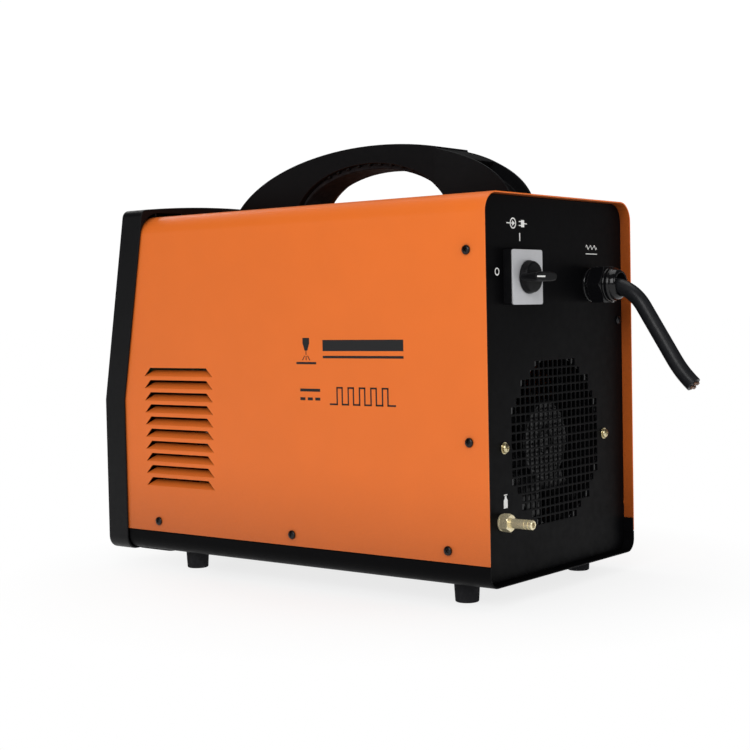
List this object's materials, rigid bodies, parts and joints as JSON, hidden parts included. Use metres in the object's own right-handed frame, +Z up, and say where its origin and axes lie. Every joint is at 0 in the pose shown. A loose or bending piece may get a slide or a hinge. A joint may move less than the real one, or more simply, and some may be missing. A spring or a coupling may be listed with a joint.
{
  "type": "tig welding machine",
  "caption": "Portable inverter TIG welding power source: bent sheet cover, moulded front, carrying handle, rear mains switch, cable gland, fan grille and gas inlet.",
  "frame": {"origin": "on the ground plane under the feet, at the middle of the box round the whole machine: midway between the side walls, and midway between the tip of the torch gas outlet and the cut end of the mains cable", "axes": "+Z up; the control panel faces -Y; the mains switch, grille and cable face +Y; +X is the right-hand side seen from the front"},
  "size_m": [0.2528, 0.5828, 0.413],
  "materials": {
    "orange_paint": "fine-grain orange powder coat",
    "black_paint": "satin black powder coat",
    "black_plastic": "moulded black plastic",
    "gloss_black": "glossy black moulding",
    "black_screw": "black oxide steel",
    "steel": "plain bright steel",
    "rubber": "black rubber",
    "overlay_film": "textured printed film",
    "red_lens": "tinted display window",
    "display_black": "display body",
    "led_green": "tinted lamp lens",
    "board_green": "solder mask",
    "button_grey": "soft-touch key cap",
    "brass": "turned brass",
    "silver_plate": "silver satin plate",
    "white_plastic": "light insulating plastic",
    "cable_jacket": "rubber cable jacket",
    "core_brown": "coloured core insulation",
    "fan_black": "glass-filled black plastic",
    "yellow_zinc": "yellow-zinc plated steel",
    "hose_blue": "gas hose",
    "aluminium": "extruded aluminium",
    "cap_sleeve": "shrink sleeve",
    "core_grey": "ferrite and laminations",
    "copper": "bare or enamelled copper"
  },
  "bodies": {
    "machine_case": {"base_pan": "black_paint", "cover": "orange_paint", "rear_panel": "black_paint", "front_bezel": "black_plastic", "handle": "black_plastic", "case_screws": "black_screw", "frame_screws": "steel", "feet": "rubber", "control_panel": "black_paint", "panel_overlay": "overlay_film", "display_window": "red_lens", "display_module": "display_black", "indicator_leds": "led_green", "control_board": "board_green", "encoder_body": "steel", "socket_panel": "black_plastic", "output_socket_shells": "gloss_black", "output_socket_inserts": "brass", "torch_gas_outlet": "brass", "torch_connector_shell": "steel", "torch_connector_insert": "gloss_black", "front_panel_screws": "black_screw", "switch_base": "black_plastic", "switch_plate": "silver_plate", "switch_contact_block": "white_plastic", "gland_body": "gloss_black", "gland_dome_nut": "gloss_black", "gland_seal": "rubber", "gland_locknut": "gloss_black", "mains_cable": "cable_jacket", "mains_cable_cores": "core_brown", "gas_inlet_fitting": "brass", "gas_inlet_nut": "brass", "fan_frame": "fan_black", "fan_stator": "steel", "fan_screws": "yellow_zinc", "gas_valve_body": "brass", "gas_valve_coil": "gloss_black", "gas_hoses": "hose_blue", "heatsinks": "aluminium", "heatsink_stands": "white_plastic", "power_board": "board_green", "power_modules": "gloss_black", "bus_capacitors": "cap_sleeve", "transformer_core": "core_grey", "transformer_winding": "copper", "choke_core": "core_grey", "choke_winding": "copper", "output_busbars": "copper", "hf_ignition_unit": "gloss_black"},
    "switch_rotor": {"switch_shaft": "steel", "switch_knob": "black_plastic"},
    "fan_impeller": {"fan_rotor": "fan_black"},
    "current_knob": {"encoder_knob": "black_plastic"},
    "process_button": {"button_process": "button_grey"},
    "trigger_button": {"button_trigger": "button_grey"},
    "pulse_button": {"button_pulse": "button_grey"},
    "gas_test_button": {"button_gas_test": "button_grey"},
    "select_button": {"button_select": "button_grey"},
    "valve_plunger": {"gas_valve_plunger": "steel"}
  },
  "joints": [
    {"name": "switch_turn", "type": "hinge", "parent": "machine_case", "child": "switch_rotor", "pos_m": [0.0585, 0.19214, 0.281], "axis": [0, -1, 0], "range_deg": [0, 90]},
    {"name": "fan_spin", "type": "hinge", "parent": "machine_case", "child": "fan_impeller", "pos_m": [0, 0.17114, 0.1345], "axis": [0, 1, 0], "continuous": true},
    {"name": "current_turn", "type": "hinge", "parent": "machine_case", "child": "current_knob", "pos_m": [0.062, -0.27006, 0.22458], "axis": [0, -0.9848, 0.1736], "continuous": true},
    {"name": "process_press", "type": "slide", "parent": "machine_case", "child": "process_button", "axis": [0, 0.9848, -0.1736], "range_m": [0, 0.0008]},
    {"name": "trigger_press", "type": "slide", "parent": "machine_case", "child": "trigger_button", "axis": [0, 0.9848, -0.1736], "range_m": [0, 0.0008]},
    {"name": "pulse_press", "type": "slide", "parent": "machine_case", "child": "pulse_button", "axis": [0, 0.9848, -0.1736], "range_m": [0, 0.0008]},
    {"name": "gas_test_press", "type": "slide", "parent": "machine_case", "child": "gas_test_button", "axis": [0, 0.9848, -0.1736], "range_m": [0, 0.0008]},
    {"name": "select_press", "type": "slide", "parent": "machine_case", "child": "select_button", "axis": [0, 0.9848, -0.1736], "range_m": [0, 0.0008]},
    {"name": "valve_lift", "type": "slide", "parent": "machine_case", "child": "valve_plunger", "axis": [0, 0, 1], "range_m": [0, 0.002]}
  ]
}
